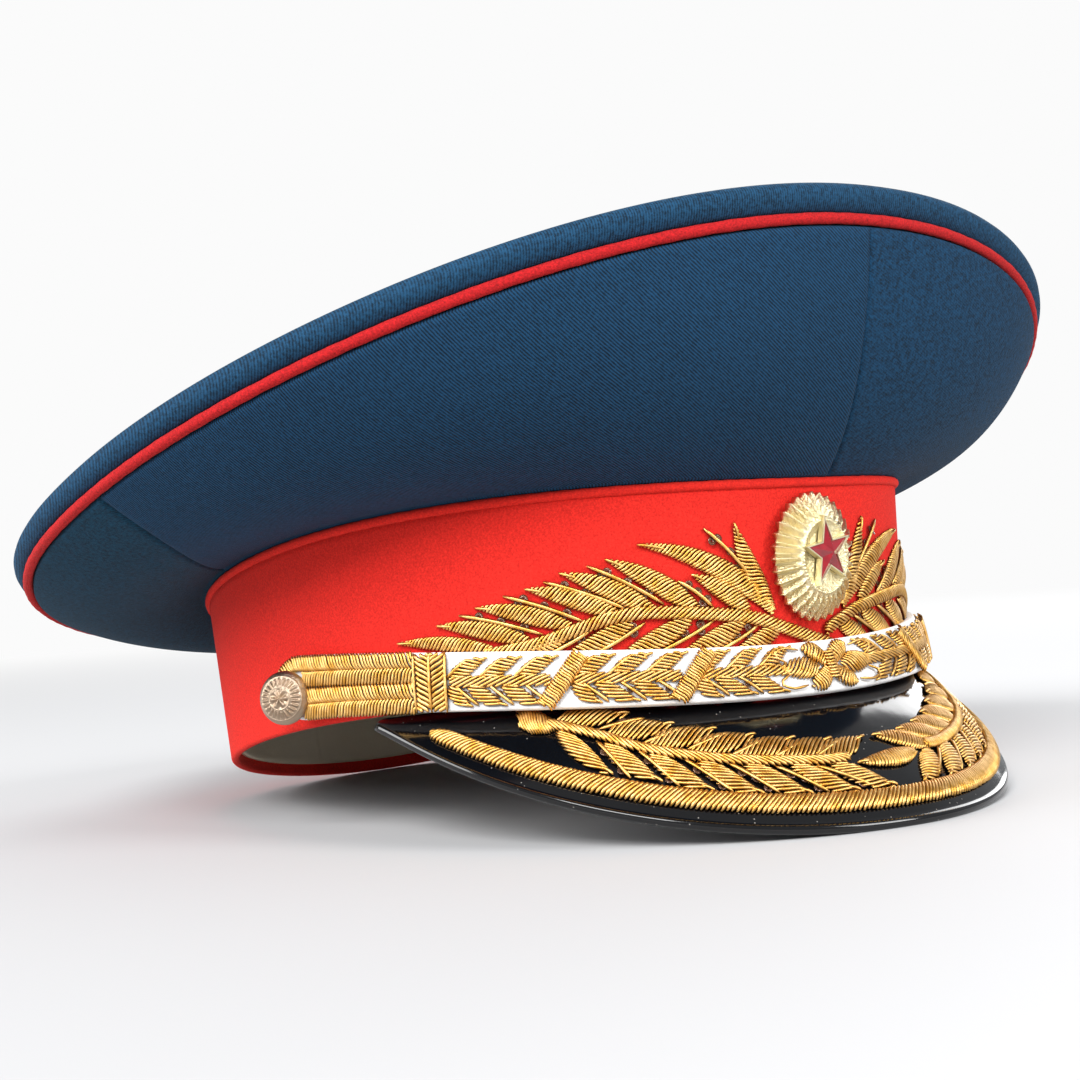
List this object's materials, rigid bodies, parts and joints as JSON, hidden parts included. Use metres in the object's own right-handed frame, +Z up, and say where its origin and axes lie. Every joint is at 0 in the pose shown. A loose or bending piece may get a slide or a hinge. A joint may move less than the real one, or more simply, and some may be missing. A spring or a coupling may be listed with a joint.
{
  "type": "visor cap",
  "caption": "Dress visor cap with wide flared crown, tall piped band, gold laurel embroidery, chin strap, oval rayed cockade with star, side buttons and glossy peak.",
  "frame": {"origin": "centre of the box's bottom face, on the surface the cap rests on", "axes": "+X to the wearer's left, -Y out of the front, +Z up"},
  "size_m": [0.2876, 0.2698, 0.1432],
  "materials": {
    "twill": "wool twill",
    "felt": "felted wool",
    "bullion": "wound gilt wire",
    "patent": "polished patent",
    "strap": "coated cloth",
    "lining": "matt",
    "gilt": "pale gilt, pressed",
    "enamel": "glassy enamel"
  },
  "bodies": {
    "root": {"crown_top": "twill", "crown_side_right": "twill", "crown_side_left": "twill", "crown_side_back": "twill", "crown_piping": "felt", "band": "felt", "band_piping": "felt", "sweatband": "lining", "peak": "patent", "peak_border": "bullion", "peak_spray_right": "bullion", "peak_spray_left": "bullion", "band_wreath_right": "bullion", "band_wreath_left": "bullion", "chin_strap": "strap", "strap_laurel": "bullion", "strap_braid_right": "bullion", "strap_braid_left": "bullion", "strap_keeper_right": "bullion", "strap_keeper_left": "bullion", "button_right": "gilt", "button_left": "gilt", "cockade": "gilt", "cockade_star": "enamel"}
  },
  "joints": []
}
